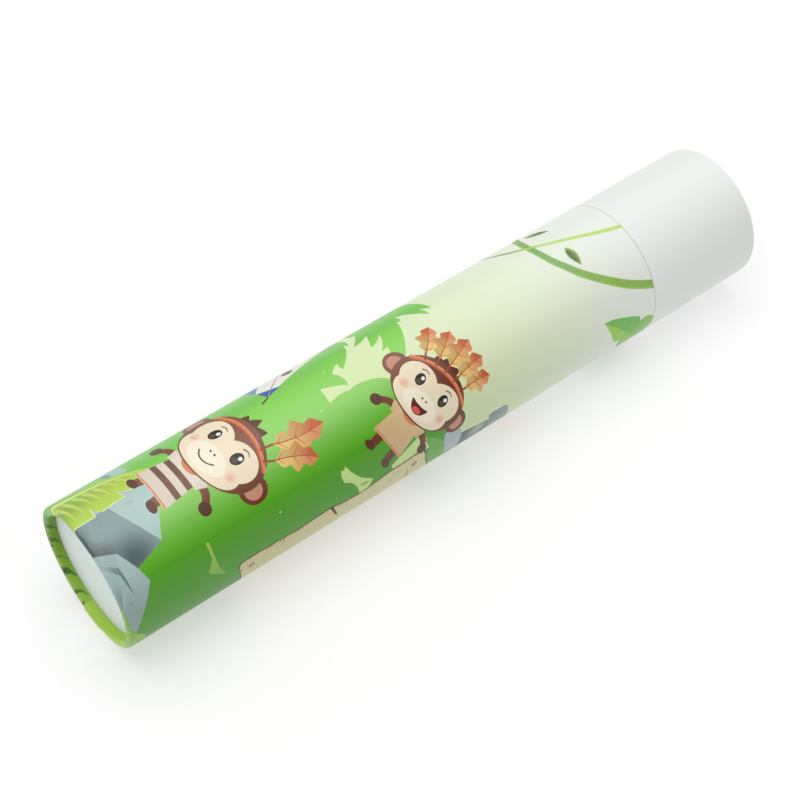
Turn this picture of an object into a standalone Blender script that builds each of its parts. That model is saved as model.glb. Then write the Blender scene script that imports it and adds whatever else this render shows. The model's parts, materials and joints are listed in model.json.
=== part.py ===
"""A paper-tube kaleidoscope, lying on its side.

A printed barrel holds a cell of loose beads behind a frosted window. A white collar turns on the
barrel's neck and carries the eyepiece, and with it the mirror tube that runs the barrel's length.
The tube's axis lies along +X, from the frosted window to the eyepiece. The origin is on the
resting surface, under the middle of the tube. Every length is in metres.
"""

from math import cos, pi, radians, sin, sqrt

import bmesh
import bpy

# Driving sizes.
OUTER_RADIUS = 0.0225
TOTAL_LENGTH = 0.238
BARREL_LENGTH = 0.194
SEAM_GAP = 0.0004
RECESS = 0.003

# Stock thicknesses and fits.
PAPER = 0.0003
GLUE_GAP = 0.0003
BOARD = 0.0016
NECK_BOARD = 0.0008
MIRROR_TUBE_BOARD = 0.0012
EDGE_RADIUS = 0.0009
RIM_WIDTH = 0.0027
WINDOW = 0.001

# A round part is drawn with this many flats, and a radius here is measured to its flats.
SIDES = 32
TO_CORNER = 1 / cos(pi / SIDES)
HALF_SIDE = pi / SIDES
ARC_STEPS = 3

# Radii that follow from the stock.
BOARD_OUTER = OUTER_RADIUS - PAPER - GLUE_GAP
BORE = BOARD_OUTER - BOARD
PLUG_RADIUS = BORE - GLUE_GAP
NECK_BORE = PLUG_RADIUS - NECK_BOARD
MIRROR_TUBE_RADIUS = NECK_BORE - GLUE_GAP
MIRROR_TUBE_BORE = MIRROR_TUBE_RADIUS - MIRROR_TUBE_BOARD

# The bead cell, from the frosted window inwards.
CELL_START = RECESS + WINDOW + GLUE_GAP
CELL_DEPTH = 0.008
CELL_END = CELL_START + CELL_DEPTH
CELL_WALL = 0.0016
CELL_BORE = PLUG_RADIUS - CELL_WALL
CLEAR_WINDOW = 0.0008
LOCKING_RING_START = CELL_END + CLEAR_WINDOW + 2 * GLUE_GAP
LOCKING_RING_LENGTH = 0.004
LOCKING_RING_BORE = 0.017

# The turning part, from the bead cell to the eyepiece.
END_PLAY = 0.001
STOP_FLANGE_SETBACK = 0.0006
STOP_FLANGE_LENGTH = 0.0034
NECK_INSIDE_COLLAR = 0.030
END_RING_LENGTH = 0.0077
EYEPIECE_CARD = 0.0012
PEEPHOLE_RADIUS = 0.005
LENS_THICKNESS = 0.001
LENS_SETBACK = 0.0001

# The mirror prism: three strips whose faces touch a circle of this radius.
PRISM_INNER_RADIUS = 0.0072
MIRROR_THICKNESS = 0.0015
MIRROR_EDGE_GAP = 0.0004
MIRROR_WIDTH = 2 * sqrt(3) * PRISM_INNER_RADIUS - MIRROR_EDGE_GAP
MIRROR_FRONT_SETBACK = 0.0013
MIRROR_TO_LENS = 0.0009
SLEEVE_CARD = 0.0005
SLEEVE_SETBACK = 0.001
SUPPORT_LENGTH = 0.006
FRONT_SUPPORT_SETBACK = 0.004
REAR_SUPPORT_SETBACK = 0.0015
# The first strip lies on top, so that a corner of the prism points down to where the beads lie.
PRISM_TURN = pi

# The loose beads.
GEM_RADIUS = 0.0024
GEM_THICKNESS = 0.0023
GEM_FACET = 0.0007
BALL_RADIUS = 0.0011
LENTIL_RADIUS = 0.0021
RING_BEAD_RADIUS = 0.0014
RING_BEAD_WIRE = 0.0007
BUGLE_RADIUS = 0.0009
BUGLE_LENGTH = 0.0052
SEQUIN_RADIUS = 0.0027
SEQUIN_THICKNESS = 0.0006
BEAD_LAYERS = 3
BEAD_CLEARANCE = 0.0004
ROW_HEIGHT = 0.0053

# Stations along the tube, measured from the frosted end.
MIRROR_TUBE_START = LOCKING_RING_START + LOCKING_RING_LENGTH + END_PLAY
STOP_FLANGE_START = MIRROR_TUBE_START + STOP_FLANGE_SETBACK
NECK_START = STOP_FLANGE_START + STOP_FLANGE_LENGTH + END_PLAY
NECK_END = BARREL_LENGTH + NECK_INSIDE_COLLAR
COLLAR_START = BARREL_LENGTH + SEAM_GAP
EYEPIECE_START = TOTAL_LENGTH - RECESS - EYEPIECE_CARD
MIRROR_TUBE_END = EYEPIECE_START - GLUE_GAP
END_RING_START = MIRROR_TUBE_END - END_RING_LENGTH
LENS_START = MIRROR_TUBE_END - LENS_THICKNESS - LENS_SETBACK
MIRROR_START = MIRROR_TUBE_START + MIRROR_FRONT_SETBACK
MIRROR_END = LENS_START - MIRROR_TO_LENS
FRONT_SUPPORT_START = MIRROR_START + FRONT_SUPPORT_SETBACK
REAR_SUPPORT_START = MIRROR_END - REAR_SUPPORT_SETBACK - SUPPORT_LENGTH

# Colour (linear), roughness and metallic value of each material.
FINISHES = {
    "kraft_board": ((0.42, 0.27, 0.15), 0.9, 0.0),
    "printed_paper": ((0.13, 0.40, 0.05), 0.5, 0.0),
    "white_paper": ((0.85, 0.86, 0.84), 0.55, 0.0),
    "white_card": ((0.80, 0.80, 0.77), 0.8, 0.0),
    "black_card": ((0.02, 0.02, 0.02), 0.8, 0.0),
    "frosted_plastic": ((0.82, 0.85, 0.85), 0.6, 0.0),
    "clear_plastic": ((0.90, 0.93, 0.94), 0.1, 0.0),
    "mirror": ((0.90, 0.90, 0.92), 0.03, 1.0),
    "foam": ((0.16, 0.16, 0.17), 0.95, 0.0),
    "red_bead": ((0.70, 0.03, 0.04), 0.15, 0.0),
    "blue_bead": ((0.03, 0.14, 0.65), 0.15, 0.0),
    "yellow_bead": ((0.85, 0.55, 0.03), 0.15, 0.0),
    "green_bead": ((0.04, 0.45, 0.12), 0.15, 0.0),
    "pink_bead": ((0.80, 0.15, 0.38), 0.15, 0.0),
    "violet_bead": ((0.28, 0.08, 0.50), 0.15, 0.0),
}


def clear_scene():
    """Removes whatever the file already holds."""
    for obj in list(bpy.data.objects):
        bpy.data.objects.remove(obj)


def make_material(name):
    """A Principled material from the FINISHES table."""
    colour, roughness, metallic = FINISHES[name]
    material = bpy.data.materials.new(name)
    material.use_nodes = True
    shader = material.node_tree.nodes["Principled BSDF"]
    shader.inputs["Base Color"].default_value = (*colour, 1.0)
    shader.inputs["Roughness"].default_value = roughness
    shader.inputs["Metallic"].default_value = metallic
    material.diffuse_color = (*colour, 1.0)
    return material


def axis_empty(name, station=0.0):
    """An empty on the tube's axis whose Z runs along the tube and whose X points down."""
    empty = bpy.data.objects.new(name, None)
    empty.location = (station - TOTAL_LENGTH / 2, 0.0, OUTER_RADIUS)
    empty.rotation_euler = (0.0, radians(90), 0.0)
    empty.empty_display_size = OUTER_RADIUS
    PARTS.objects.link(empty)
    return empty


def finish(obj, name, material, parent, station=0.0):
    """Names a part, gives it its material and puts it on its empty at a station along the tube."""
    obj.name = name
    for collection in list(obj.users_collection):
        collection.objects.unlink(obj)
    PARTS.objects.link(obj)
    obj.data.name = name
    obj.data.materials.append(MATERIALS[material])
    obj.parent = parent
    obj.location.z = station
    return obj


def shade_round(obj):
    """Smooth shading on the flats, with the edges kept sharp."""
    obj.data.shade_smooth()
    obj.data.set_sharp_from_angle(angle=radians(35))


def turned(name, profile, material, parent, station=0.0, face_back=False):
    """A solid turned from a closed profile of (radius, distance along the axis) points.

    The profile runs down its outer side, from far to near. face_back turns the part end for end.
    """
    mesh = bpy.data.meshes.new(name)
    points = [(radius * TO_CORNER, 0.0, along) for radius, along in profile]
    edges = [(i, (i + 1) % len(points)) for i in range(len(points))]
    mesh.from_pydata(points, edges, [])
    obj = finish(bpy.data.objects.new(name, mesh), name, material, parent, station)
    screw = obj.modifiers.new("turn", "SCREW")
    screw.axis = "Z"
    screw.angle = 2 * pi
    screw.steps = SIDES
    screw.render_steps = SIDES
    screw.use_merge_vertices = True
    screw.merge_threshold = 0.00001
    obj.rotation_euler = (pi if face_back else 0.0, 0.0, HALF_SIDE)
    return obj


def tube(name, outer, inner, start, end, material, parent):
    """A plain tube or ring between two stations."""
    length = end - start
    profile = [(outer, length), (outer, 0.0), (inner, 0.0), (inner, length)]
    return turned(name, profile, material, parent, start)


def disc(name, radius, start, thickness, material, parent):
    """A plain round plate."""
    bpy.ops.mesh.primitive_cylinder_add(
        vertices=SIDES, radius=radius * TO_CORNER, depth=thickness
    )
    obj = bpy.context.active_object
    finish(obj, name, material, parent, start + thickness / 2)
    obj.rotation_euler.z = HALF_SIDE
    shade_round(obj)
    return obj


def corner(centre_radius, centre_along, size, first, last):
    """Points along an arc of the profile, between two angles in degrees."""
    angles = [first + (last - first) * i / ARC_STEPS for i in range(ARC_STEPS + 1)]
    return [
        (centre_radius + size * cos(radians(a)), centre_along + size * sin(radians(a)))
        for a in angles
    ]


def wrap_profile(length):
    """A paper skin down the outside, over a rounded rim and back up inside as a short flap."""
    flap_radius = OUTER_RADIUS - RIM_WIDTH
    flap_end = RECESS - GLUE_GAP
    outer_centre = OUTER_RADIUS - EDGE_RADIUS
    inner_centre = flap_radius + EDGE_RADIUS
    inside = EDGE_RADIUS - PAPER
    return [
        (OUTER_RADIUS, length),
        *corner(outer_centre, EDGE_RADIUS, EDGE_RADIUS, 0, -90),
        *corner(inner_centre, EDGE_RADIUS, EDGE_RADIUS, -90, -180),
        (flap_radius, flap_end),
        (flap_radius + PAPER, flap_end),
        *corner(inner_centre, EDGE_RADIUS, inside, -180, -90),
        *corner(outer_centre, EDGE_RADIUS, inside, -90, 0),
        (OUTER_RADIUS - PAPER, length),
    ]


def outline_plate(name, outlines, thickness, material, parent, station, holes=True):
    """A plate cut to 2D outlines, the first of them outside and the others holes in it."""
    curve = bpy.data.curves.new(name, "CURVE")
    curve.dimensions = "2D"
    curve.fill_mode = "BOTH"
    curve.extrude = thickness / 2
    for outline in outlines:
        spline = curve.splines.new("POLY")
        spline.points.add(len(outline) - 1)
        for point, (x, y) in zip(spline.points, outline):
            point.co = (x, y, 0.0, 1.0)
        spline.use_cyclic_u = True
    obj = bpy.data.objects.new(name, curve)
    return finish(obj, name, material, parent, station + thickness / 2)


def polygon(radius, sides, turn=0.0):
    """Corner points of a regular polygon whose flats are at this radius."""
    reach = radius / cos(pi / sides)
    angles = [turn + 2 * pi * i / sides for i in range(sides)]
    return [(reach * cos(a), reach * sin(a)) for a in angles]


def prism_outline(clearance):
    """The hexagon round the three mirror strips, this far outside them."""
    reach_flat = PRISM_INNER_RADIUS + MIRROR_THICKNESS
    half_width = MIRROR_WIDTH / 2
    # Two strips' outer corners stand either side of each corner of the prism.
    reach_corner = (half_width * sqrt(3) + reach_flat) / 2
    long_side = reach_flat + clearance
    short_side = reach_corner + clearance
    points = []
    for i in range(6):
        first, second = (long_side, short_side) if i % 2 == 0 else (short_side, long_side)
        angle = PRISM_TURN + i * pi / 3
        # Where the side facing this angle meets the side facing 60 degrees further on.
        across = (second - first * cos(pi / 3)) / sin(pi / 3)
        points.append(
            (
                first * cos(angle) - across * sin(angle),
                first * sin(angle) + across * cos(angle),
            )
        )
    return points


def build_barrel(parent):
    """The parts that stay still with the printed barrel."""
    turned("printed_wrap", wrap_profile(BARREL_LENGTH), "printed_paper", parent)
    tube(
        "barrel_tube",
        BOARD_OUTER,
        BORE,
        PAPER + GLUE_GAP,
        BARREL_LENGTH,
        "kraft_board",
        parent,
    )
    tube("neck_tube", PLUG_RADIUS, NECK_BORE, NECK_START, NECK_END, "kraft_board", parent)
    disc("diffuser_disc", PLUG_RADIUS, RECESS, WINDOW, "frosted_plastic", parent)
    tube("chamber_ring", PLUG_RADIUS, CELL_BORE, CELL_START, CELL_END, "white_card", parent)
    disc(
        "clear_window",
        PLUG_RADIUS,
        CELL_END + GLUE_GAP,
        CLEAR_WINDOW,
        "clear_plastic",
        parent,
    )
    tube(
        "locking_ring",
        PLUG_RADIUS,
        LOCKING_RING_BORE,
        LOCKING_RING_START,
        LOCKING_RING_START + LOCKING_RING_LENGTH,
        "kraft_board",
        parent,
    )


def build_collar(parent):
    """The white collar and the eyepiece in its end."""
    turned(
        "collar_wrap",
        wrap_profile(TOTAL_LENGTH - COLLAR_START),
        "white_paper",
        parent,
        TOTAL_LENGTH,
        face_back=True,
    )
    tube(
        "collar_tube",
        BOARD_OUTER,
        BORE,
        COLLAR_START,
        TOTAL_LENGTH - PAPER - GLUE_GAP,
        "kraft_board",
        parent,
    )
    tube(
        "eyepiece_disc",
        PLUG_RADIUS,
        PEEPHOLE_RADIUS,
        EYEPIECE_START,
        EYEPIECE_START + EYEPIECE_CARD,
        "white_card",
        parent,
    )
    disc(
        "eye_lens",
        MIRROR_TUBE_BORE - GLUE_GAP,
        LENS_START,
        LENS_THICKNESS,
        "clear_plastic",
        parent,
    )
    tube(
        "end_ring",
        PLUG_RADIUS,
        NECK_BORE,
        END_RING_START,
        MIRROR_TUBE_END,
        "kraft_board",
        parent,
    )


def build_mirror_tube(parent):
    """The tube that the collar turns, with the stop flange that keeps it in the barrel."""
    tube(
        "mirror_tube",
        MIRROR_TUBE_RADIUS,
        MIRROR_TUBE_BORE,
        MIRROR_TUBE_START,
        MIRROR_TUBE_END,
        "kraft_board",
        parent,
    )
    tube(
        "stop_flange",
        PLUG_RADIUS,
        NECK_BORE,
        STOP_FLANGE_START,
        STOP_FLANGE_START + STOP_FLANGE_LENGTH,
        "kraft_board",
        parent,
    )


def build_prism(parent):
    """Three mirror strips, the card folded round them and the two foam supports."""
    length = MIRROR_END - MIRROR_START
    for i in range(3):
        bpy.ops.mesh.primitive_cube_add(size=1.0)
        strip = bpy.context.active_object
        sizes = (MIRROR_THICKNESS, MIRROR_WIDTH, length)
        bmesh_scale(strip.data, sizes)
        finish(strip, f"mirror_strip_{i + 1}", "mirror", parent, MIRROR_START + length / 2)
        angle = PRISM_TURN + i * radians(120)
        reach = PRISM_INNER_RADIUS + MIRROR_THICKNESS / 2
        strip.location.x = reach * cos(angle)
        strip.location.y = reach * sin(angle)
        strip.rotation_euler.z = angle
    outside = GLUE_GAP + SLEEVE_CARD
    outline_plate(
        "prism_sleeve",
        [prism_outline(outside), prism_outline(GLUE_GAP)],
        length - 2 * SLEEVE_SETBACK,
        "black_card",
        parent,
        MIRROR_START + SLEEVE_SETBACK,
    )
    round_outline = polygon(MIRROR_TUBE_BORE - GLUE_GAP, SIDES, HALF_SIDE)
    for name, start in (
        ("front_prism_support", FRONT_SUPPORT_START),
        ("rear_prism_support", REAR_SUPPORT_START),
    ):
        outlines = [round_outline, prism_outline(outside + GLUE_GAP)]
        outline_plate(name, outlines, SUPPORT_LENGTH, "foam", parent, start)


def bmesh_scale(mesh, sizes):
    """Scales a mesh itself, so that its object keeps a scale of 1."""
    shape = bmesh.new()
    shape.from_mesh(mesh)
    bmesh.ops.scale(shape, vec=sizes, verts=shape.verts)
    shape.to_mesh(mesh)
    shape.free()


# Beads. Each kind is a function that returns a new object centred on its own middle.
def cut_gem():
    """An eight-sided tablet with broad bevels, like a cut stone."""
    bpy.ops.mesh.primitive_cylinder_add(vertices=8, radius=GEM_RADIUS, depth=GEM_THICKNESS)
    gem = bpy.context.active_object
    bevel = gem.modifiers.new("facets", "BEVEL")
    bevel.width = GEM_FACET
    bevel.segments = 1
    return gem


def lentil():
    """A ball bead pressed flat."""
    bpy.ops.mesh.primitive_uv_sphere_add(segments=14, ring_count=8, radius=LENTIL_RADIUS)
    bead = bpy.context.active_object
    bmesh_scale(bead.data, (1.0, 1.0, BALL_RADIUS / LENTIL_RADIUS))
    bead.data.shade_smooth()
    return bead


def ring_bead():
    """A small glass ring."""
    bpy.ops.mesh.primitive_torus_add(
        major_segments=16,
        minor_segments=8,
        major_radius=RING_BEAD_RADIUS,
        minor_radius=RING_BEAD_WIRE,
    )
    bead = bpy.context.active_object
    bead.data.shade_smooth()
    return bead


def bugle():
    """A short glass rod lying across the cell."""
    bpy.ops.mesh.primitive_cylinder_add(vertices=12, radius=BUGLE_RADIUS, depth=BUGLE_LENGTH)
    bead = bpy.context.active_object
    shade_round(bead)
    bead.rotation_euler.x = radians(90)
    return bead


def sequin(points, dent):
    """A flat sequin whose edge swings in by this share of its radius, this many times round."""
    curve = bpy.data.curves.new("sequin", "CURVE")
    curve.dimensions = "2D"
    curve.fill_mode = "BOTH"
    curve.extrude = SEQUIN_THICKNESS / 2
    spline = curve.splines.new("POLY")
    corners = 2 * points
    spline.points.add(corners - 1)
    for i, point in enumerate(spline.points):
        reach = SEQUIN_RADIUS * (1 - dent * (i % 2))
        angle = pi * i / points
        point.co = (reach * cos(angle), reach * sin(angle), 0.0, 1.0)
    spline.use_cyclic_u = True
    return bpy.data.objects.new("sequin", curve)


def star():
    """A five-pointed sequin."""
    return sequin(5, 0.5)


def flower():
    """A six-petalled sequin."""
    return sequin(6, 0.28)


def spangle():
    """A plain round sequin."""
    return sequin(8, 0.0)


# Each layer of the cell holds one pile: (name, maker, colour, angle from the lowest point in
# degrees, share of the way up from the cell's wall in bead rows, turn in its own plane in degrees).
PILES = {
    "gem_axis": (
        0,
        (
            ("red_gem", cut_gem, "red_bead", -19, 0, 10),
            ("blue_gem", cut_gem, "blue_bead", 0, 0, 0),
            ("yellow_gem", cut_gem, "yellow_bead", 19, 0, 25),
            ("green_lentil", lentil, "green_bead", -13, 1, 0),
            ("pink_lentil", lentil, "pink_bead", 14, 1, 0),
            ("violet_lentil", lentil, "violet_bead", 2, 1.9, 0),
        ),
    ),
    "bead_axis": (
        1,
        (
            ("violet_ring_bead", ring_bead, "violet_bead", -27, 0, 0),
            ("red_bugle", bugle, "red_bead", -5, 0, 0),
            ("green_ring_bead", ring_bead, "green_bead", 17, 0, 0),
            ("yellow_bugle", bugle, "yellow_bead", 6, 1, 8),
            ("blue_ring_bead", ring_bead, "blue_bead", -18, 1, 0),
            ("pink_ring_bead", ring_bead, "pink_bead", 10, 1.6, 0),
        ),
    ),
    "sequin_axis": (
        2,
        (
            ("yellow_star", star, "yellow_bead", -24, 0, 20),
            ("pink_flower", flower, "pink_bead", -3, 0, 5),
            ("blue_spangle", spangle, "blue_bead", 18, 0, 0),
            ("green_star", star, "green_bead", -19, 1, 50),
            ("violet_flower", flower, "violet_bead", 14, 1, 40),
            ("red_star", star, "red_bead", -2, 2, 15),
        ),
    ),
}


def bead_reach(maker):
    """How far a bead of this kind reaches across the cell from its own middle."""
    reaches = {
        cut_gem: GEM_RADIUS,
        lentil: LENTIL_RADIUS,
        ring_bead: RING_BEAD_RADIUS + RING_BEAD_WIRE,
        bugle: BUGLE_RADIUS,
    }
    return reaches.get(maker, SEQUIN_RADIUS)


def build_beads():
    """The three piles, each on its own empty on the tube's axis."""
    for axis_name, (layer, beads) in PILES.items():
        station = CELL_START + CELL_DEPTH * (layer + 0.5) / BEAD_LAYERS
        parent = axis_empty(axis_name, station)
        for name, maker, material, angle, row, turn in beads:
            bead = finish(maker(), name, material, parent)
            radius = CELL_BORE - BEAD_CLEARANCE - bead_reach(maker) - row * ROW_HEIGHT
            if maker is bugle:
                radius -= CELL_BORE * (1 - cos(BUGLE_LENGTH / 2 / CELL_BORE))
            bead.location.x = radius * cos(radians(angle))
            bead.location.y = radius * sin(radians(angle))
            bead.rotation_euler.z = radians(angle + turn)


clear_scene()
PARTS = bpy.data.collections.new("kaleidoscope")
bpy.context.scene.collection.children.link(PARTS)
MATERIALS = {name: make_material(name) for name in FINISHES}

barrel_axis = axis_empty("barrel_axis")
collar_axis = axis_empty("collar_axis")
build_barrel(barrel_axis)
build_collar(collar_axis)
build_mirror_tube(collar_axis)
build_prism(collar_axis)
build_beads()
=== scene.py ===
"""Looks for the paper-tube kaleidoscope: its printed wrap, its white collar and what is inside.

Lengths in the drawing and the profiles are in millimetres. On the printed sheet, s runs along the
tube from the frosted end and the angle phi runs round it in degrees, 0 at the top and positive
towards -Y. The sheet is lapped at its glued seam, and its upper end is at SEAM_END.
"""

import json
import math
import random

import bpy
import numpy as np
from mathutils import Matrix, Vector
from mathutils.geometry import delaunay_2d_cdt


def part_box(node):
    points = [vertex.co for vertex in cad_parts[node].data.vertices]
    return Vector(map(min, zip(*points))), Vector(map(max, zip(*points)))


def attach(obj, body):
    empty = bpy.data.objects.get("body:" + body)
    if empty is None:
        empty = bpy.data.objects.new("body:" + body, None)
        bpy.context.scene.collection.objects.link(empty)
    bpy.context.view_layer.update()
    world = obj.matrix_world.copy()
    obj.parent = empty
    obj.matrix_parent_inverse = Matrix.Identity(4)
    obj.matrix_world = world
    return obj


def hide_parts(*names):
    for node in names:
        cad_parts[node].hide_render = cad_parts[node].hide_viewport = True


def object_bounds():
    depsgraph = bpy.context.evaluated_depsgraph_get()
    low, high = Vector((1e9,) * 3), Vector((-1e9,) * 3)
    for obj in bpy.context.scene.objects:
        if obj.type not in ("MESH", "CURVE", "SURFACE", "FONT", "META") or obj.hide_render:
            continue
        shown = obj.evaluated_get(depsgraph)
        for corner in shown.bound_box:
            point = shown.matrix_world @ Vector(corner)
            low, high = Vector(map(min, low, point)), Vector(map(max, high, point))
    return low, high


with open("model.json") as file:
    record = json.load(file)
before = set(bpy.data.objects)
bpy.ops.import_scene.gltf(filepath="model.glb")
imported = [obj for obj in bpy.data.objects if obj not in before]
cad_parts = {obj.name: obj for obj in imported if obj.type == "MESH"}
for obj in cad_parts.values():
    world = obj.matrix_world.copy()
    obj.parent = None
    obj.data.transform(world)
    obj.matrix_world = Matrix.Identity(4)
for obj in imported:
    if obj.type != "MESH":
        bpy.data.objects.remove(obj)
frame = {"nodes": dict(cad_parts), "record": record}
cad_low, cad_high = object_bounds()
nodes = frame["nodes"]
record = frame["record"]
BODY = {node: body for body, members in record["behaviour"]["bodies"].items() for node in members}

MM = 0.001
CAD_SIDES = 32
AXIS = (cad_low.z + cad_high.z) / 2 / MM
RADIUS = (cad_high.z - cad_low.z) / 2 / MM
LEFT, RIGHT = cad_low.x / MM, cad_high.x / MM
SEAM_GAP = 0.09
SEAM_CLOSED = (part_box("collar_wrap")[0].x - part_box("printed_wrap")[1].x) / MM - SEAM_GAP
BARREL = (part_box("printed_wrap")[1].x - cad_low.x) / MM + SEAM_CLOSED / 2
COLLAR = (cad_high.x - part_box("collar_wrap")[0].x) / MM + SEAM_CLOSED / 2
DEGREE = math.pi * RADIUS / 180
SEAM_END = -165.0

# The paper: its thickness, the lap at its glued seam, its path over the rim and its bare cut edge.
SHEET = 0.2
LAP = 8.0
EDGE = 0.9
RIM = 2.7
FLAP_END = 2.93
CORNER = EDGE * math.pi / 2
AT_FACE = EDGE - CORNER
AT_INNER = AT_FACE - (RIM - 2 * EDGE)
AT_FLAP = AT_INNER - CORNER
AT_END = AT_FLAP - (FLAP_END - EDGE)
BARE_EDGE = 0.16


# ---------------------------------------------------------------- colours
def ink(red, green, blue):
    """A display colour, 0 to 255, as linear light."""
    c = np.array([red, green, blue], float) / 255
    return np.where(c <= 0.04045, c / 12.92, ((c + 0.055) / 1.055) ** 2.4)


def flat(colour):
    """A fill of one colour."""
    return lambda s, a: np.tile(colour, (len(s), 1))


def smoothstep(x, low, high):
    t = np.clip((x - low) / (high - low), 0, 1)
    return (t * t * (3 - 2 * t))[:, None]


def fade(first, last, start, end):
    """A fill that goes from one colour to another between two points of the sheet."""
    (s0, a0), (s1, a1) = start, end
    ds, da = s1 - s0, a1 - a0

    def fill(s, a):
        t = ((s - s0) * ds + (a - a0) * da) / (ds * ds + da * da)
        t = smoothstep(t, 0, 1)
        return first * (1 - t) + last * t

    return fill


def glow(middle, rim, centre, reach):
    """A fill that goes from one colour in the middle to another at this distance."""

    def fill(s, a):
        t = smoothstep(np.hypot(s - centre[0], a - centre[1]), 0, reach)
        return middle * (1 - t) + rim * t

    return fill


def by_angle(*stops):
    """A fill whose colour changes round the tube, through stops of (angle, red, green, blue)."""
    angles = [phi * DEGREE for phi, *_ in stops]
    colours = np.array([ink(*colour) for _, *colour in stops])

    def fill(s, a):
        return np.stack([np.interp(a, angles, colours[:, i]) for i in range(3)], 1)

    return fill


hill = by_angle(
    (-165, 140, 178, 60), (-150, 104, 144, 38), (-115, 84, 132, 32), (-85, 88, 154, 50),
    (-60, 118, 186, 88), (-40, 134, 203, 105), (-25, 124, 199, 86), (-10, 136, 211, 86), (5, 145, 214, 101),
    (18, 148, 212, 103), (27, 135, 201, 90), (36, 113, 188, 62), (46, 97, 178, 30), (56, 80, 164, 12),
    (70, 78, 156, 22), (85, 76, 156, 34), (103, 80, 150, 42), (125, 80, 148, 46), (165, 120, 170, 62),
    (195, 140, 178, 60)
)
pale = by_angle(
    (-165, 214, 230, 176), (-60, 222, 238, 192), (-15, 219, 236, 184), (15, 218, 234, 179),
    (35, 220, 233, 172), (55, 210, 227, 156), (85, 196, 220, 152), (140, 200, 222, 156),
    (195, 214, 230, 176)
)
# Fur colours round the tube, with painted sheen: greyer and lighter near the top and towards the bottom,
# deepest and most saturated between 30 and 60 degrees, where the gloss reflects least.
fur_with_painted_sheen = by_angle(
    (-60, 112, 78, 62), (-20, 124, 82, 62), (8, 138, 90, 70), (30, 118, 64, 40), (50, 110, 48, 18),
    (80, 112, 66, 44)
)
dark_fur_with_painted_sheen = by_angle((-30, 98, 66, 52), (10, 96, 62, 50), (40, 86, 40, 18), (85, 86, 60, 40))
MIST = ink(235, 241, 233)
MIST_START, MIST_END = 98, 190


def sky(s, a):
    """Pale green that turns to white towards the collar."""
    t = np.clip((s - MIST_START) / (MIST_END - MIST_START), 0, 1)[:, None]
    return pale(s, a) * (1 - t) + MIST * t


# ---------------------------------------------------------------- outlines
def spot(s, phi):
    """A point of the sheet as (s, arc length)."""
    return (s, phi * DEGREE)


def on_sheet(points):
    """(s, phi) points as (s, arc length)."""
    return [spot(*q) for q in points]


def smooth(points, steps=6, closed=True):
    """A Catmull-Rom curve through the points."""
    p = np.array(points, float)
    p = np.vstack([p[-1:], p, p[:2]] if closed else [p[:1], p, p[-1:]])
    out = []
    for i in range(len(p) - 3):
        a, b, c, d = p[i:i + 4]
        for k in range(steps):
            t = k / steps
            curve = 2 * b + (c - a) * t + (2 * a - 5 * b + 4 * c - d) * t * t + (3 * b - a - 3 * c + d) * t**3
            out.append(0.5 * curve)
    if not closed:
        out.append(p[-1])
    return [tuple(q) for q in out]


def ellipse(x, y, across, up, turn=0.0, count=28):
    """An ellipse round (x, y) with these half widths, turned by this many degrees."""
    c, n = math.cos(math.radians(turn)), math.sin(math.radians(turn))
    angles = [2 * math.pi * i / count for i in range(count)]
    ends = [(across * math.cos(t), up * math.sin(t)) for t in angles]
    return [(x + u * c - v * n, y + u * n + v * c) for u, v in ends]


def stroke(points, width, end_width=None, steps=6):
    """A line along a smooth path. Its width goes evenly from width to end_width, if that is given."""
    path = np.array(smooth(points, steps, closed=False))
    along = np.gradient(path, axis=0)
    along /= np.linalg.norm(along, axis=1)[:, None]
    side = np.stack([-along[:, 1], along[:, 0]], 1)
    last = width if end_width is None else end_width
    half = np.linspace(width, last, len(path))[:, None] / 2
    left, right = path + side * half, path - side * half
    return [tuple(q) for q in left] + [tuple(q) for q in right[::-1]]


def blade(base, tip, width, bend=0.0, fat=0.45, steps=11):
    """The two edges and the midrib of a leaf from base to tip, bent to one side."""
    base, tip = np.array(base, float), np.array(tip, float)
    along = tip - base
    side = np.array([-along[1], along[0]]) / np.hypot(*along)
    t = np.linspace(0, 1, steps)[:, None]
    rib = base + along * t + side * bend * 4 * t * (1 - t)
    half = width / 2 * np.sin(np.pi * t ** (math.log(0.5) / math.log(fat))) ** 0.85
    return rib + side * half, rib, rib - side * half


def ring_of(*parts):
    """One outline from several runs of points."""
    return [tuple(q) for part in parts for q in part]


def spear(*shape):
    """The outline of a leaf in one colour. It takes what blade takes."""
    one, _, other = blade(*shape)
    return ring_of(one, other[::-1])


def cut(*runs):
    """An outline of smooth runs of (s, phi) points, with a corner at the first point of each run."""
    outline = []
    for i, run in enumerate(runs):
        corner = runs[(i + 1) % len(runs)][0]
        outline += smooth(on_sheet([*run, corner]), 5, closed=False)[:-1]
    return outline


# ---------------------------------------------------------------- the drawing
LAYERS = []


def paint(outline, fill):
    """Adds a shape on top of what is already drawn. An outline is a list of (s, arc) points."""
    LAYERS.append((np.array(outline, float), fill if callable(fill) else flat(fill)))


def patch(points, fill):
    """Adds the shape with these (s, phi) corners."""
    paint(on_sheet(points), fill)


def line(points, fill, width, end_width=None, steps=6):
    """Adds a line along a smooth path of (s, phi) points."""
    paint(stroke(on_sheet(points), width, end_width, steps), fill)


def paint_leaf(base, tip, width, light, dark, bend=0.0, rib=None, fat=0.45):
    """A two-tone leaf with a midrib."""
    one, middle, other = blade(base, tip, width, bend, fat)
    paint(ring_of(one, middle[::-1]), fade(light, light * 0.82, base, tip))
    paint(ring_of(other, middle[::-1]), fade(dark, dark * 0.85, base, tip))
    if rib is not None:
        paint(stroke(middle[::2], width * 0.07, 0.05), rib)


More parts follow.
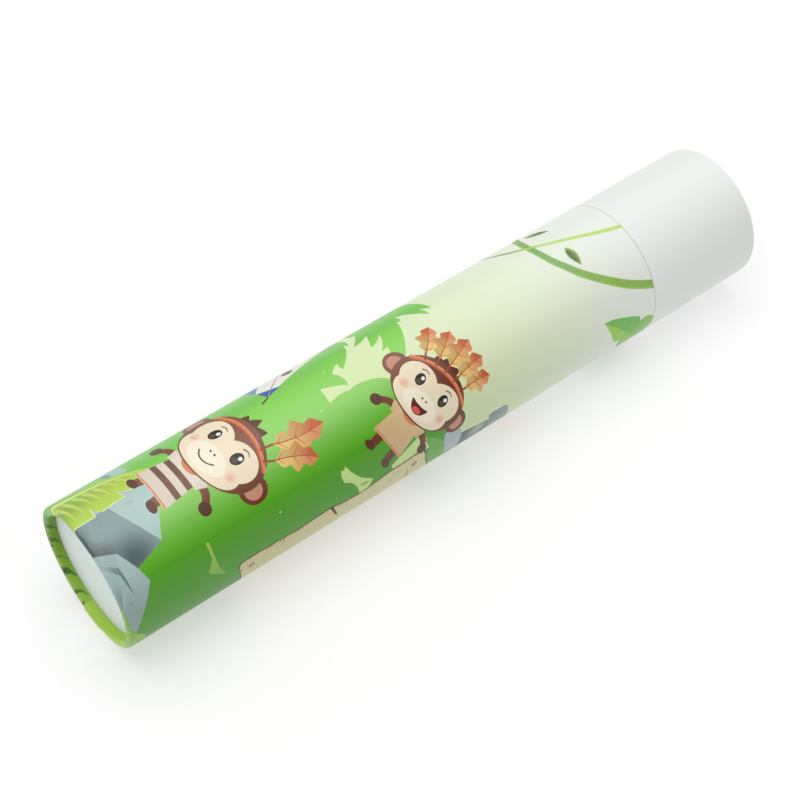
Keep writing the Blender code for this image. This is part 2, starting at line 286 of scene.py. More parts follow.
class Figure:
    """A frame for a drawn figure: x to its right, y up its body, in millimetres."""

    def __init__(self, s, phi, lean, size=1.0):
        self.centre = np.array([s, phi * DEGREE])
        up = math.radians(lean)
        self.up = np.array([math.cos(up), math.sin(up)]) * size
        self.right = np.array([-self.up[1], self.up[0]])

    def at(self, points):
        p = np.array(points, float)
        return [tuple(q) for q in self.centre + p[:, :1] * self.right + p[:, 1:] * self.up]

    def paint(self, outline, fill):
        paint(self.at(outline), fill)

    def oval(self, centre, across, up, fill, turn=0.0, count=28):
        self.paint(ellipse(*centre, across, up, turn, count), fill)

    def fade(self, first, last, start, end):
        start, end = self.at([start, end])
        return fade(first, last, start, end)


TAN = ink(240, 226, 196)
MUZZLE = ink(248, 238, 216)
BLACK = ink(30, 30, 32)
WHITE = ink(244, 245, 242)
TERRACOTTA = ink(218, 134, 92)
RUST = ink(196, 92, 48)
GOLD = ink(232, 200, 120)
BLUSH = ink(238, 172, 146)


def oak_leaf(figure, base, tip, width, bend=0.0):
    """An autumn leaf with three lobes to a side on a short stalk, gold at its base and rust at its tip."""
    steps = 25
    base, tip = (np.array(q) for q in figure.at([base, tip]))
    stalk = base + (tip - base) * 0.2
    one, middle, other = blade(stalk, tip, width, bend, 0.5, steps)
    lobes = 1 - 0.26 * np.cos(np.linspace(0, 6 * math.pi, steps))[:, None]
    one, other = (middle + (edge - middle) * lobes for edge in (one, other))
    paint(stroke([base, stalk, middle[4]], 0.8, 0.4), RUST * 0.6)
    start, end = base + (tip - base) * 0.3, base + (tip - base) * 0.95
    paint(ring_of(one, middle[::-1]), fade(GOLD, TERRACOTTA, start, end))
    paint(ring_of(other, middle[::-1]), fade(GOLD * 0.8, RUST, start, end))
    paint(stroke(middle[::4], 0.36, 0.12), RUST * 0.7)
    for i in (5, 13, 20):
        for edge in (one, other):
            paint(stroke([middle[i - 3], middle[i] * 0.35 + edge[i] * 0.65], 0.24, 0.1, 2), RUST * 0.8)


def draw_body(figure, shirt, trim, stripes, hem, leg):
    """Legs, arms and a T-shirt. hem is the shirt's lower edge and leg the length below it."""
    for side in (-1, 1):
        figure.paint(stroke([(3.8 * side, hem + 2), (4.4 * side, hem - leg)], 3.5, 3.1, 2), fur_with_painted_sheen)
        figure.oval((4.9 * side, hem - leg), 2.2, 1.3, dark_fur_with_painted_sheen)
        figure.paint(stroke([(5.5 * side, -11), (9.4 * side, -11.4), (12.6 * side, -13.4)], 2.7, 2.1, 5), fur_with_painted_sheen)
        figure.oval((12.9 * side, -13.7), 2.1, 1.9, dark_fur_with_painted_sheen)
        figure.paint(stroke([(3.4 * side, -10.2), (7.6 * side, -11.6)], 4.0, 3.6, 2), shirt * 0.93)
    body = [(-5.2, -8.5), (5.2, -8.5), (5.9, -12.5), (7.6, hem), (-7.6, hem), (-5.9, -12.5)]
    figure.paint(body, figure.fade(shirt, shirt * 0.88, (0, -9), (1, hem)))
    for i in range(stripes):
        y = -13.2 - 4.2 * i
        wide = 5.9 + (-12.5 - y) * 1.7 / (-12.5 - hem)
        figure.paint([(-wide, y), (wide, y), (wide + 0.2, y - 1.9), (-wide - 0.2, y - 1.9)], trim)
    figure.paint(stroke([(-7.5, hem + 0.5), (7.5, hem + 0.5)], 0.5, None, 2), TERRACOTTA)
    figure.oval((0, -9.4), 4.0, 2.6, TERRACOTTA, 0, 18)


def draw_head(figure, happy):
    """Ears, hair, face and mouth."""
    for side in (-1, 1):
        figure.oval((15.0 * side, 0.9), 4.4, 4.4, fur_with_painted_sheen)
        figure.oval((15.3 * side, 0.8), 2.8, 2.8, ink(196, 142, 118))
    for lean, reach in ((-5.2, 13.2), (-1.2, 15.0), (3.4, 13.6)):
        figure.paint(spear((lean * 0.4, 8.5), (lean, reach), 4.2, 0.8, 0.35, 7), dark_fur_with_painted_sheen)
    figure.oval((0, 0.4), 15.0, 11.2, fur_with_painted_sheen, 0, 44)
    for side in (-1, 1):
        figure.oval((5.6 * side, 1.0), 7.2, 6.0, TAN, 8 * side, 36)
    figure.oval((0, -3.6), 12.2, 6.6, TAN, 0, 40)
    figure.oval((0, -4.9), 7.4, 4.2, MUZZLE, 0, 32)
    for side in (-1, 1):
        cheek = (9.0 * side, -2.9)
        figure.oval(cheek, 2.1, 1.6, glow(BLUSH, TAN, figure.at([cheek])[0], 2.3))
        eye = 5.4 * side
        figure.oval((eye, 1.7), 1.75, 2.25, BLACK)
        figure.oval((eye, 0.8), 1.0, 0.9, ink(92, 66, 54))
        figure.oval((eye + 0.5, 2.5), 0.62, 0.7, WHITE)
        figure.paint(stroke([(eye - 1.5, 4.9), (eye, 5.5), (eye + 1.5, 4.9)], 0.45, 0.25), dark_fur_with_painted_sheen)
        figure.oval((0.9 * side, -2.7), 0.42, 0.34, BLACK, 0, 14)
    smile = [(-3.6, -4.7), (-1.9, -6.0), (0, -6.4), (1.9, -6.0), (3.6, -4.7)]
    laugh = [(-3.6, -4.7), (-1.8, -5.0), (0, -5.1), (1.8, -5.0), (3.6, -4.7)]
    laugh += [(2.3, -7.4), (0, -8.4), (-2.3, -7.4)]
    if happy:
        figure.paint(smooth(laugh, 4), ink(96, 34, 22))
        figure.oval((0, -7.1), 1.7, 1.0, ink(226, 88, 66))
    else:
        figure.paint(stroke(smile, 0.45, 0.45), ink(88, 52, 38))


def monkey(figure, shirt, trim, stripes, hem, leg, happy, leaves):
    """A plain cartoon monkey in a T-shirt, with a twig of leaves round its head."""
    draw_body(figure, shirt, trim, stripes, hem, leg)
    draw_head(figure, happy)
    twig = [(-12.8, 6.0), (-6.6, 8.4), (0, 9.2), (6.6, 8.4), (12.8, 6.0)]
    figure.paint(stroke(twig, 1.5, 1.3), TERRACOTTA)
    figure.paint(stroke([(x, y - 0.45) for x, y in twig], 0.4, 0.4), RUST)
    for base, tip, width, bend in leaves:
        oak_leaf(figure, base, tip, width, bend)


def fern(base, tip, pairs, reach, colour):
    """A frond with pairs of narrow leaflets, each lighter on one half."""
    base, tip = np.array(base, float), np.array(tip, float)
    along = tip - base
    ahead = along / np.hypot(*along)
    side = np.array([-ahead[1], ahead[0]])
    for i in range(pairs):
        t = 0.1 + 0.88 * i / pairs
        size = reach * (1 - t) ** 0.7 + 0.5
        for way in (-1, 1):
            root = base + along * t
            end = root + (side * way + ahead * 0.8) * size
            paint_leaf(root, end, size * 0.42, colour, colour * 0.74, 0.12 * size * way)
    paint(stroke([base, (base + tip) / 2, tip], 0.5, 0.15), colour * 0.62)


def draw_rocks():
    """The rocks at the frosted end."""
    stone = ink(174, 198, 192)
    outline = [
        (-6, -12), (11, -12), (20, -10), (26, -6), (24.5, 2), (23, 12), (21.6, 20), (19.8, 29),
        (18.1, 37.9), (8.8, 46.5), (-6, 52)
    ]
    patch(outline, fade(stone, ink(180, 204, 200), (14, -2), (20, 8)))

    def slate(s, a):
        """Painted shadow: darker along the rim and in its lower corner, where the rim shades it."""
        # Painted shadow cast by the rim: a band along it and a patch in the corner next to it.
        edge = (1 - smoothstep(s, -0.8, 2.4)) * smoothstep(a, -6, 5)
        corner_shadow = 1 - smoothstep(np.hypot(s - 2.8, a - 10.4), 0, 5)
        body = glow(ink(72, 92, 95), ink(138, 158, 158), (9.6, 15), 9.5)(s, a)
        return body * (1 - 0.9 * edge) * (1 - 0.55 * corner_shadow)

    outline = [
        (-6, -2), (6.6, -2.4), (10.9, -2), (12.5, 9.5), (14.3, 19.2), (16.1, 28.6), (18.1, 37.9),
        (8.8, 46.5), (5.7, 30.4), (-0.6, 24), (-6, 22)
    ]
    patch(outline, slate)
    for s, phi, across, up in ((16.5, 3, 1.3, 1.0), (7, 5, 2.6, 1.4), (4, 12, 1.6, 1.1)):
        tone = stone if s > 15 else ink(140, 160, 160)
        centre = spot(s, phi)
        paint(ellipse(*centre, across, up), glow(tone * 0.86, tone, centre, across))
    patch([(16.5, -43), (19, -48), (22.4, -44), (23.2, -28), (18, -27)], ink(168, 198, 196))
    patch([(16.4, -43), (18.2, -44), (18.8, -32), (17.2, -30)], ink(122, 146, 174))
    front = [
        (-6, 23), (-0.6, 24), (5.7, 30.4), (8.8, 46.5), (10.3, 58.3), (8.9, 64.1), (5.6, 78), (1.9, 94.5),
        (0.6, 87.4), (0.6, 76.5), (-0.4, 62.8), (-6, 60)
    ]
    patch(front, fade(ink(172, 194, 192), ink(144, 166, 164), (6, 17), (4, 31)))
    ledge = [(-6, 23), (-0.6, 24), (5.7, 30.4), (4.2, 39.4), (2.2, 35.6), (-0.7, 29.3), (-6, 27)]
    patch(ledge, ink(160, 186, 178))
    side = [(-6, 27), (-0.7, 29.3), (3.6, 44.4), (2.3, 49.7), (0.4, 68.3), (-0.4, 64), (-6, 62)]
    patch(side, fade(ink(162, 190, 185), ink(130, 158, 154), (1.5, 17), (0, 25)))
    patch([(2.3, 49.7), (3.6, 45.5), (3.2, 56), (0.4, 68.3)], ink(164, 187, 184))
    wedge = cut(
        [(-0.7, 29.3), (0.8, 33.4), (2.2, 35.6)], [(4.2, 39.4), (4.6, 50)], [(4.7, 62), (3.9, 51)],
        [(3.6, 44.4), (2, 40), (0.4, 34.5)]
    )
    paint(wedge, fade(ink(154, 180, 174), ink(112, 134, 132), (0, 12.5), (4, 18)))
    for s, phi, size in ((2.9, 66.5, 0.62), (3.1, 74.3, 0.5)):
        centre, tall = spot(s, phi), size * 1.5
        paint(ellipse(*centre, size, tall), glow(ink(128, 154, 152), ink(142, 166, 164), centre, tall))


def draw_banana_leaf():
    """The long leaf that hangs over the rocks."""
    light, deep, bright = ink(180, 212, 84), ink(136, 178, 78), ink(206, 222, 108)
    upper = [
        (-6, -40), (0, -43), (8, -42.5), (15, -37), (21, -28), (27, -17), (20, -24.5), (12, -29.3),
        (4, -31.4), (-6, -32)
    ]
    patch(upper, fade(ink(134, 182, 96), ink(170, 208, 104), (8, -17), (9, -12.6)))
    lower = [
        (-6, -32), (4, -31.4), (12, -29.3), (20, -24.5), (27, -17), (23.6, -11.6), (19.2, -6.6), (17.2, -9),
        (15.6, -12.4), (16.6, -4.1), (12.5, -3.4), (9.1, -2.3), (7.8, -5), (6.8, -9.8), (6.8, -1.6),
        (3, -1.2), (-6, -0.4)
    ]
    patch([(s + 0.25, phi + 0.9) for s, phi in lower], ink(226, 238, 160))
    patch(lower, fade(deep, light, (8, -11.5), (11, -3)))
    for i, drop in enumerate((22, 27, 28, 19, 25, 26, 15, 15, 8)):
        s = -3.5 + 3.1 * i
        top = -31.4 + 0.02 * s * s
        shares = ((0, 0), (1.7, 0.4), (2.4, 0.7), (2.7, 1))
        vein = on_sheet([(s + out, top + drop * share) for out, share in shares])
        for width, share in ((2.6, 0.3), (1.7, 0.6), (0.8, 0.9)):
            paint(stroke(vein, width, 0.1), fade(deep + (bright - deep) * share, light, vein[1], vein[3]))
    path = [(-6, -36), (2.8, -35.6), (10.4, -32.4), (18, -27), (26, -18.4)]
    for width, tone in ((3.2, ink(172, 208, 96)), (2.2, ink(208, 232, 108))):
        line(path, tone, width, 0.3)
    line([(-6, -31.8), (6, -31), (16, -27), (26.8, -17.2)], ink(140, 180, 84), 0.4, 0.1)


def draw_grass():
    """The grass below the rocks, and one blade of it on the hill."""
    tuft = cut(
        [(-6, 60), (-0.8, 60), (-0.3, 68), (0.5, 76.5)], [(0.6, 88), (1.9, 95)], [(4.6, 104), (5, 113)],
        [(2.4, 112), (1.6, 120)], [(-6, 126)]
    )
    paint(tuft, fade(ink(132, 176, 66), ink(146, 190, 74), (0, 33), (4, 44)))
    leaf = [(28.5, 56), (29.5, 56), (29.5, 68), (29.9, 79), (31.6, 90), (28.9, 85), (26.4, 79.5), (28.6, 70)]
    patch(leaf, fade(ink(158, 200, 76), ink(124, 176, 68), (29, 24), (30.5, 35)))


def draw_hill():
    """The green hill with its palm fronds, and the pale leaves that it lets through."""
    mound = cut(
        [(-8, 199)],
        [(-8, -168)],
        [(107, -168), (104, -140), (105, -112), (100, -60), (99.2, -42), (99.6, -34)],
        [(98.5, -23.8), (98.4, -27.5)], [(97.5, -28.1), (97.2, -24)],
        [(96.3, -19), (95.6, -17), (94.6, -13.5)], [(92.8, -8.6)],
        [(90.9, -4.4), (90.6, -7.6)], [(90.9, -12.3), (89.2, -10.2)],
        [(87.2, -5.6), (88.2, -2), (88.9, 4)], [(88.5, 10.6), (87.2, 7.5), (84.5, 4.4)],
        [(81, 1.1)], [(80.6, 15), (83.5, 13.2)], [(86.9, 13)],
        [(87.3, 13.9), (89.4, 12.9), (93, 13.4), (97.8, 17.7), (102, 27), (104.6, 40), (107, 62),
         (112, 84), (113, 96), (108, 118), (115, 132), (109, 150), (117, 168), (110, 182)],
        [(118, 199)]
    )
    paint(mound, hill)
    fronds = cut(
        [(102.3, -37.5)], [(103.5, -35.4), (101.7, -27.4)],
        [(99, -19.6), (102.1, -20.8)], [(105, -24.8), (104, -18.3)],
        [(102.4, -9), (104.7, -10.8)], [(107.8, -17.2), (106.5, -9)],
        [(103.9, -0.6)], [(106.2, -1.7), (105.6, 4)], [(105.3, 8), (107, 15)],
        [(108.3, 13), (110.8, 4.7), (113.1, -5.7), (114.5, -14.5)], [(115, -21.3), (115.2, -19.8)],
        [(115.9, -19), (116.7, -22.3)], [(116.3, -28.3)], [(117.9, -25)],
        [(118.4, -25.7), (120.1, -20.6), (122.4, -14.6)], [(124.2, -9.3), (124.2, -13.8)],
        [(123.5, -19.6), (125.1, -17)],
        [(126.6, -14.4), (126.1, -22.4), (124.7, -35.3), (123.2, -48), (118, -66), (106, -100),
         (98, -112), (100, -84), (101.5, -50)]
    )
    paint(fronds, hill)
    for i in range(22):
        s, a = 112 - 0.45 * i, (-62 - 4.9 * i) * DEGREE
        for reach, drop, width in ((10 - 0.25 * i, -3.6, 2.6), (6, 2.4, 2.2)):
            paint(spear((s - 6, a), (s + reach, a + drop), width, 0.7, 0.4, 9), hill)
    pale_leaf = cut(
        [(75.1, 60.6)], [(74.5, 63.2)], [(73.5, 62.6), (73, 67)], [(73.4, 73), (75.7, 77), (77.2, 83.7)],
        [(77.8, 91.5), (79.9, 91.7), (81.6, 88.9)], [(82.9, 84.4), (79.4, 77.6), (76.7, 68.8)]
    )
    paint(pale_leaf, ink(198, 226, 140))
    paint(ellipse(*spot(79.8, 84.2), 1.5, 0.42, 8), ink(112, 168, 74))
    patch([(102, 70), (96, 76), (89.7, 83), (89.9, 88.5), (104, 88)], ink(202, 226, 152))
    leaf = ink(108, 174, 78)
    bush = cut(
        [(102.2, 78), (105.4, 81)], [(108.6, 90), (109.6, 89.6), (111.1, 88.7), (113.2, 95), (114.3, 103)],
        [(114.4, 110), (114.8, 124)], [(104, 124), (102.3, 97)], [(103.6, 89.3)]
    )
    paint(bush, leaf)
    sprig = cut(
        [(114.8, 124), (115.4, 113), (116.8, 103.4)], [(117.8, 98.2), (118.7, 101.6), (118.7, 112)],
        [(119.4, 124)]
    )
    paint(sprig, leaf)
    for s, phi, size in ((52, 65.5, 0.35), (77, 16.6, 0.3), (66, 42, 0.22), (86, -12, 0.35), (70, 104, 0.25)):
        paint(ellipse(*spot(s, phi), size, size), ink(186, 222, 150))


def draw_stones():
    """The grey stones beside the plank."""
    middle, dark, lit = spot(122.2, 104), ink(98, 112, 112), ink(168, 186, 178)
    back = [(115.6, 94.4), (119.4, 95.8), (123, 97.5), (126.6, 99.6), (127, 126), (115, 126)]
    patch(back, glow(lit, dark, middle, 5.2))
    near = cut(
        [(109.2, 92)], [(109.3, 84.9)], [(110.5, 83.6), (114.2, 86)],
        [(115.5, 89.6), (115.8, 97), (115.4, 107)], [(114.4, 116)], [(110, 110)]
    )
    paint(near, ink(172, 186, 192))
    far = cut(
        [(126.6, 126)], [(126.7, 99.4), (126.4, 94.4)], [(127.6, 92.9)], [(132.8, 93.8), (134.2, 97.6)],
        [(135, 110), (134.4, 126)]
    )
    paint(far, fade(ink(124, 144, 142), ink(146, 164, 162), (127, 38), (133, 42)))
    for start, end in (((126.4, 94.8), (127.8, 93.3)), ((127.8, 93.3), (133, 94.2))):
        line([start, end], ink(92, 108, 110), 0.3, None, 1)


def draw_plank():
    """A blank wooden board with split ends."""
    top = [
        (36, 93), (36.2, 91), (36.7, 89.6), (43.1, 88.8), (46.4, 90.2), (49.2, 89.1), (49.6, 89.2),
        (50, 92.6), (50.2, 89.6), (50.6, 89.6), (51, 93.6), (51.3, 90), (56.5, 90.8), (62, 89.6),
        (67.2, 88.9), (68.4, 89.6), (73, 91.6), (78.1, 92.6), (83.6, 91), (89.1, 88.6), (92.6, 88.6),
        (98, 87.6), (101.4, 88.4)
    ]
    right = [(102, 93), (102.3, 101), (103.4, 110), (104.6, 122), (103.8, 136), (102.8, 150)]
    low = [(96, 151.5), (88, 149.6), (80, 151), (70, 150), (60, 151.6), (50, 149.8), (42, 151.4), (37, 150)]
    left = [(37.6, 138), (37.4, 118), (36.2, 99.4), (37, 97.4), (36, 96)]
    outline = top + right + low + left
    middle = np.array(spot(70, 119))

    def scaled(along, round_):
        grown = middle + (np.array(on_sheet(outline)) - middle) * (along, round_)
        return [tuple(q) for q in grown]

    paint(scaled(1.01, 1.042), ink(44, 46, 26))
    patch(outline, ink(226, 192, 140))
    paint(scaled(0.993, 0.962), fade(ink(206, 200, 150), ink(212, 208, 162), (50, 36), (90, 46)))
    rng = random.Random(5)
    for i in range(26):
        s, phi = 38 + rng.random() * 56, 92 + rng.random() * 56
        reach = 3 + rng.random() * 9
        middle_phi, end_phi = phi + rng.uniform(-1.2, 1.2), phi + rng.uniform(-0.8, 0.8)
        grain = [(s, phi), (s + reach / 2, middle_phi), (min(s + reach, 101), end_phi)]
        line(grain, ink(190, 172, 118), 0.28, 0.08, 3)
    patch([(67.3, 88.4), (68.5, 88.8), (70.3, 104), (69.4, 101)], ink(64, 50, 38))
    patch([(67.2, 90), (67.6, 92.4), (69.6, 102), (68, 100), (66.6, 92)], ink(226, 192, 140))
    patch([(94.6, 112), (95.6, 98), (96.2, 104), (96.6, 112)], ink(190, 168, 116))
    for s, phi in ((40, 99), (98, 97), (40, 143), (98, 143)):
        paint(ellipse(*spot(s, phi), 1.0, 1.0), ink(142, 112, 76))
        paint(ellipse(s + 0.1, phi * DEGREE - 0.1, 0.55, 0.55), ink(196, 168, 124))


def draw_kite():
    """A blue and white kite over the top of the hill, its bowed tail trailing down the back."""
    white, blue, pale_blue = ink(234, 234, 222), ink(62, 98, 170), ink(108, 140, 182)
    nose, left, right, end = (68.2, -18.4), (65.5, -54), (97, -50), (90, -88)
    patch([nose, right, end, left, (66.8, -31)], white)
    patch([(66.8, -31), nose, (73.6, -23.4)], blue)
    patch([(66.8, -31), (70.4, -45), (74, -59), left], pale_blue)
    patch([end, (78, -71.5), (84, -68), (94, -66.5)], blue)
    patch([right, (94, -66.5), (84, -52)], pale_blue)
    line([nose, (80, -52), end], ink(150, 148, 140), 0.35)
    line([left, (80, -54.5), right], ink(150, 148, 140), 0.35)
    paint(ellipse(*spot(79.6, -39.4), 2.0, 1.7), ink(118, 98, 84))
    line([(65.2, -14.8), (66.8, -16.6), nose], ink(60, 44, 38), 0.55, 0.5)
    tail = smooth(on_sheet([end, (96, -96), (92, -106), (98, -116), (106, -122)]), 6, closed=False)
    paint(stroke(tail[::3], 0.4, None, 3), ink(232, 228, 214))
    for s, a in tail[6::7]:
        for side in (-1, 1):
            end = s + 1.8 * side
            paint([(s, a), (end, a - 1.3), (end, a + 1.3)], blue if side > 0 else TERRACOTTA)


def draw_vines():
    """The vines and the leaves beside the collar."""
    thin = [
        (152, -62), (154.6, -50), (156.8, -37), (160.2, -27), (165, -19.4), (170, -12.6), (180, -2),
        (188, 5.4), (196, 11)
    ]
    shade = fade(ink(122, 146, 98), ink(190, 226, 124), (158, -13), (168, -5))
    line(thin, shade, 0.85, 1.5)
    leaf, deep = ink(128, 170, 96), ink(86, 114, 70)
    paint_leaf(spot(170, -38), spot(176.4, -26), 2.9, leaf, deep)
    ends = on_sheet([(174.1, 21.2), (173.8, 1)])
    paint_leaf(*ends, 3.2, ink(150, 190, 86), ink(150, 190, 86), fat=0.55)
    paint_leaf(*on_sheet([(174.0, 19.6), (173.5, 3.4)]), 1.9, ink(108, 138, 92), ink(92, 120, 82), fat=0.55)
    thick = [
        (176, -80), (171.5, -60), (168.4, -45.4), (166.4, -31.2), (165.7, -17), (166.7, 2), (169, 14.7),
        (172.5, 27.4), (178, 40), (184, 51), (189, 58), (196, 66)
    ]
    lit, dim = ink(164, 206, 86), ink(146, 186, 88)
    path = on_sheet(thick)
    paint(stroke(path, 2.3, 2.9), fade(ink(150, 192, 112), lit, (166, 0), (184, 20)))
    upper = [(s + 0.12, a - 0.12) for s, a in path]
    paint(stroke(upper, 1.7, 2.1), fade(ink(138, 178, 106), dim, (166, 0), (184, 20)))
    line([(163.6, -21), (165.4, -18.6), (168, -15.2)], ink(172, 214, 98), 1.0, 1.0)
    deep, light = ink(116, 190, 84), ink(160, 212, 80)
    top = [
        (172.9, 72.4), (176.4, 73.3), (180, 76.6), (184, 81), (187.6, 86.4), (188.1, 92.6), (189, 90.8),
        (190.6, 90.2), (192.4, 92.6), (194.2, 97), (194.6, 104), (193, 110), (192, 118)
    ]
    rib = [(190, 120), (187.6, 110.5), (184.6, 101.4), (181, 92), (177.6, 83)]
    low = [(175, 84), (176.2, 93), (177.8, 101), (180.4, 102.6), (179.6, 107.4), (180.2, 113), (182, 122)]
    patch(top + rib, fade(deep, ink(142, 200, 96), (184, 38), (192, 42)))
    patch([(172.9, 72.4), *rib[::-1], *low[::-1]], fade(light, ink(146, 200, 84), (176, 34), (184, 44)))
    veins = (
        (181, 92, 1.6, -10), (184.6, 101, 2.2, -12), (179.6, 88, -3.2, 4), (183, 97, -3.4, 7),
        (187, 109, 3.6, -9)
    )
    for s, phi, ds, dphi in veins:
        vein = [(s, phi), (s + ds * 0.5, phi + dphi * 0.4), (s + ds, phi + dphi)]
        line(vein, ink(92, 162, 78), 0.3, 0.12)


def draw_flower(s, phi, size, petal, middle):
    centre = np.array(spot(s, phi))
    for i in range(5):
        turn = math.radians(72 * i + 10 * s)
        out = centre + 1.5 * size * np.array([math.cos(turn), math.sin(turn)])
        paint(ellipse(*out, 1.25 * size, 0.85 * size, math.degrees(turn), 16), petal)
    paint(ellipse(*centre, 0.8 * size, 0.8 * size, 0, 16), middle)


def draw_dell():
    """Plants, a stone and flowers on the side that faces away."""
    hollow = fade(ink(98, 160, 54), ink(72, 124, 34), (40, -42), (46, -58))
    dell = [
        (-6, -104), (10, -96), (26, -108), (44, -100), (62, -112), (84, -104), (104, -118), (108, -140),
        (80, -152), (40, -156), (-6, -152)
    ]
    paint(smooth(on_sheet(dell), 5), hollow)
    base = spot(20, -110)
    for tip, width in (((36, -80), 7.5), ((25, -68), 7), ((9, -74), 7), ((44, -98), 6.5), ((1, -94), 6)):
        paint_leaf(base, spot(*tip), width, ink(146, 202, 84), ink(104, 168, 60), 1.2, ink(186, 222, 120))
    for s, drift, top, reach in ((50, 9, -74, 4.6), (53, -7, -84, 4.2), (52, 17, -96, 3.6)):
        ends = on_sheet([(s, -124), (s + drift, top)])
        fern(*ends, 9, reach, ink(150, 202, 84))
    stone = [(66, -118), (70, -104), (80, -99), (94, -104), (101, -116), (97, -128), (74, -129)]
    paint(smooth(on_sheet(stone), 5), fade(ink(178, 200, 196), ink(118, 142, 142), (82, -40), (86, -50)))
    patch([(73, -106), (81, -101), (90, -106), (84, -113), (75, -113)], ink(196, 214, 208))
    patch([(84, -113), (90, -106), (97, -114), (93, -124)], ink(142, 166, 164))
    line([(84, -113), (82, -120), (86, -126)], ink(104, 126, 124), 0.5, 0.1)
    for s, phi, tall in ((64, -120, 5), (101, -124, 4.5), (32, -134, 5), (12, -126, 4), (86, -140, 4)):
        for i in range(5):
            root, tip = spot(s + 0.7 * i, phi), (s + 2.2 * i - 3, phi * DEGREE + tall - abs(i - 2))
            green = ink(156, 204, 88) if i % 2 else ink(120, 178, 64)
            paint(spear(root, tip, 1.1, 0.4 * (i - 2), 0.3, 6), green)
    yellow, pink = ink(250, 220, 104), ink(240, 164, 150)
    flowers = (
        (30, -140, 1.1), (56, -134, 0.9), (72, -142, 1.0), (98, -140, 1.1), (16, -146, 1.0), (44, -146, 0.8)
    )
    for s, phi, size in flowers:
        draw_flower(s, phi, size, yellow if size > 0.95 else pink, ink(206, 112, 56))


def draw_back_vines():
    """Butterflies, vines and leaves on the side that faces away."""
    for s, phi, tilt in ((130, -92, 20), (152, -114, -14), (140, 138, 8)):
        butterfly = Figure(s, phi, tilt)
        for side in (-1, 1):
            butterfly.oval((3.0 * side, 1.4), 2.9, 2.3, ink(240, 170, 92), 28 * side)
            butterfly.oval((2.4 * side, -1.9), 2.0, 1.6, ink(226, 138, 78), -30 * side)
            butterfly.oval((3.5 * side, 1.8), 1.1, 0.8, ink(250, 222, 164), 28 * side)
        butterfly.oval((0, 0), 0.5, 3.0, ink(92, 60, 44))
    hanging = [(128, -168), (133, -150), (142, -138), (156, -128), (172, -112), (186, -92), (196, -84)]
    line(hanging, fade(ink(140, 188, 100), ink(146, 192, 80), (130, -60), (186, -40)), 2.0, 2.4)
    leaves = ((141, -139, 3, -14), (156, -128, -2, 16), (166, -119, 6, -12), (180, -101, -5, 14))
    for s, phi, ds, dphi in leaves:
        paint_leaf(spot(s, phi), spot(s + ds, phi + dphi), 3.4, ink(150, 194, 88), ink(104, 150, 84))
    for s, phi, ds, dphi, width in ((194, 150, -22, -6, 9), (194, 166, -17, 12, 8), (196, 132, -12, -14, 7)):
        ends = spot(s, phi), spot(s + ds, phi + dphi)
        paint_leaf(*ends, width, ink(140, 192, 82), ink(98, 168, 76), 0.8, ink(178, 212, 120))
    for tip, width in (((30, 128), 6), ((22, 146), 6), ((34, 160), 5)):
        paint_leaf(spot(4, 150), spot(*tip), width, ink(150, 196, 84), ink(118, 172, 66), 0.8)
    for s, phi in ((118, 150), (128, 160), (62, 172), (86, 178)):
        fern(*on_sheet([(s, phi + 14), (s + 4, phi - 16)]), 8, 4.0, ink(122, 184, 80))


def draw_flap():
    """The parts of the picture that are turned in over the rim, and painted shadow in the flap's creases."""
    rim = [(-8, 60), (-0.9, 60), (-0.3, 98), (0.4, 110), (0.6, 150), (0.3, 199), (-8, 199)]
    patch(rim, ink(166, 206, 66))
    flap = [(-8, SEAM_END), (-0.9, SEAM_END), (-1.2, -110), (-1.2, -58), (-8, -56)]
    patch(flap, fade(ink(110, 154, 26), ink(146, 188, 58), spot(0, -80), spot(0, SEAM_END)))
    shades = ((-66, 3, 96), (-78, 7, 98), (-96, 6, 100), (-115, 4, 124), (-127, 8, 102), (-148, 5, 112))
    for phi, reach, tone in shades:
        low = phi - reach
        shade = cut([(-1.3, phi)], [(-1.3, low), (-3, low)], [(-4.8, low - 6), (-3.4, phi - 3)])
        paint(shade, ink(tone * 0.66, tone * 1.14, tone * 0.22))
    for phi in (-84, -121, -139):
        line([(-1.6, phi), (-2.6, phi - 5), (-4, phi - 6)], ink(160, 190, 70), 0.35, 0.1)
    # Painted shadow: near-black slits where the turned-in flap is gathered into creases.
    for phi, reach, lean in ((-107, 2.6, 1), (-133, 3.6, 3), (-151, 2.2, -1), (-163, 3.0, 2)):
        tip = (-1.1 - reach * 0.55, phi + lean)
        crease_shadow = cut([(-1.1, phi), (-1.5, phi - 0.4)], [tip, (-1.6, phi + reach * 0.7)], [(-1.1, phi + reach)])
        paint(crease_shadow, ink(26, 52, 12))
    line([(-1, SEAM_END + 0.4), (-5, SEAM_END + 0.4)], ink(196, 206, 140), 0.14, None, 1)


def draw_cut_edge():
    """The bare edge of the sheet beside the collar, all the way round."""
    edge, past = BARREL - BARE_EDGE, BARREL + 1
    low, high = SEAM_END - 25, SEAM_END + 335
    patch([(edge, low), (past, low), (past, high), (edge, high)], ink(216, 200, 166))


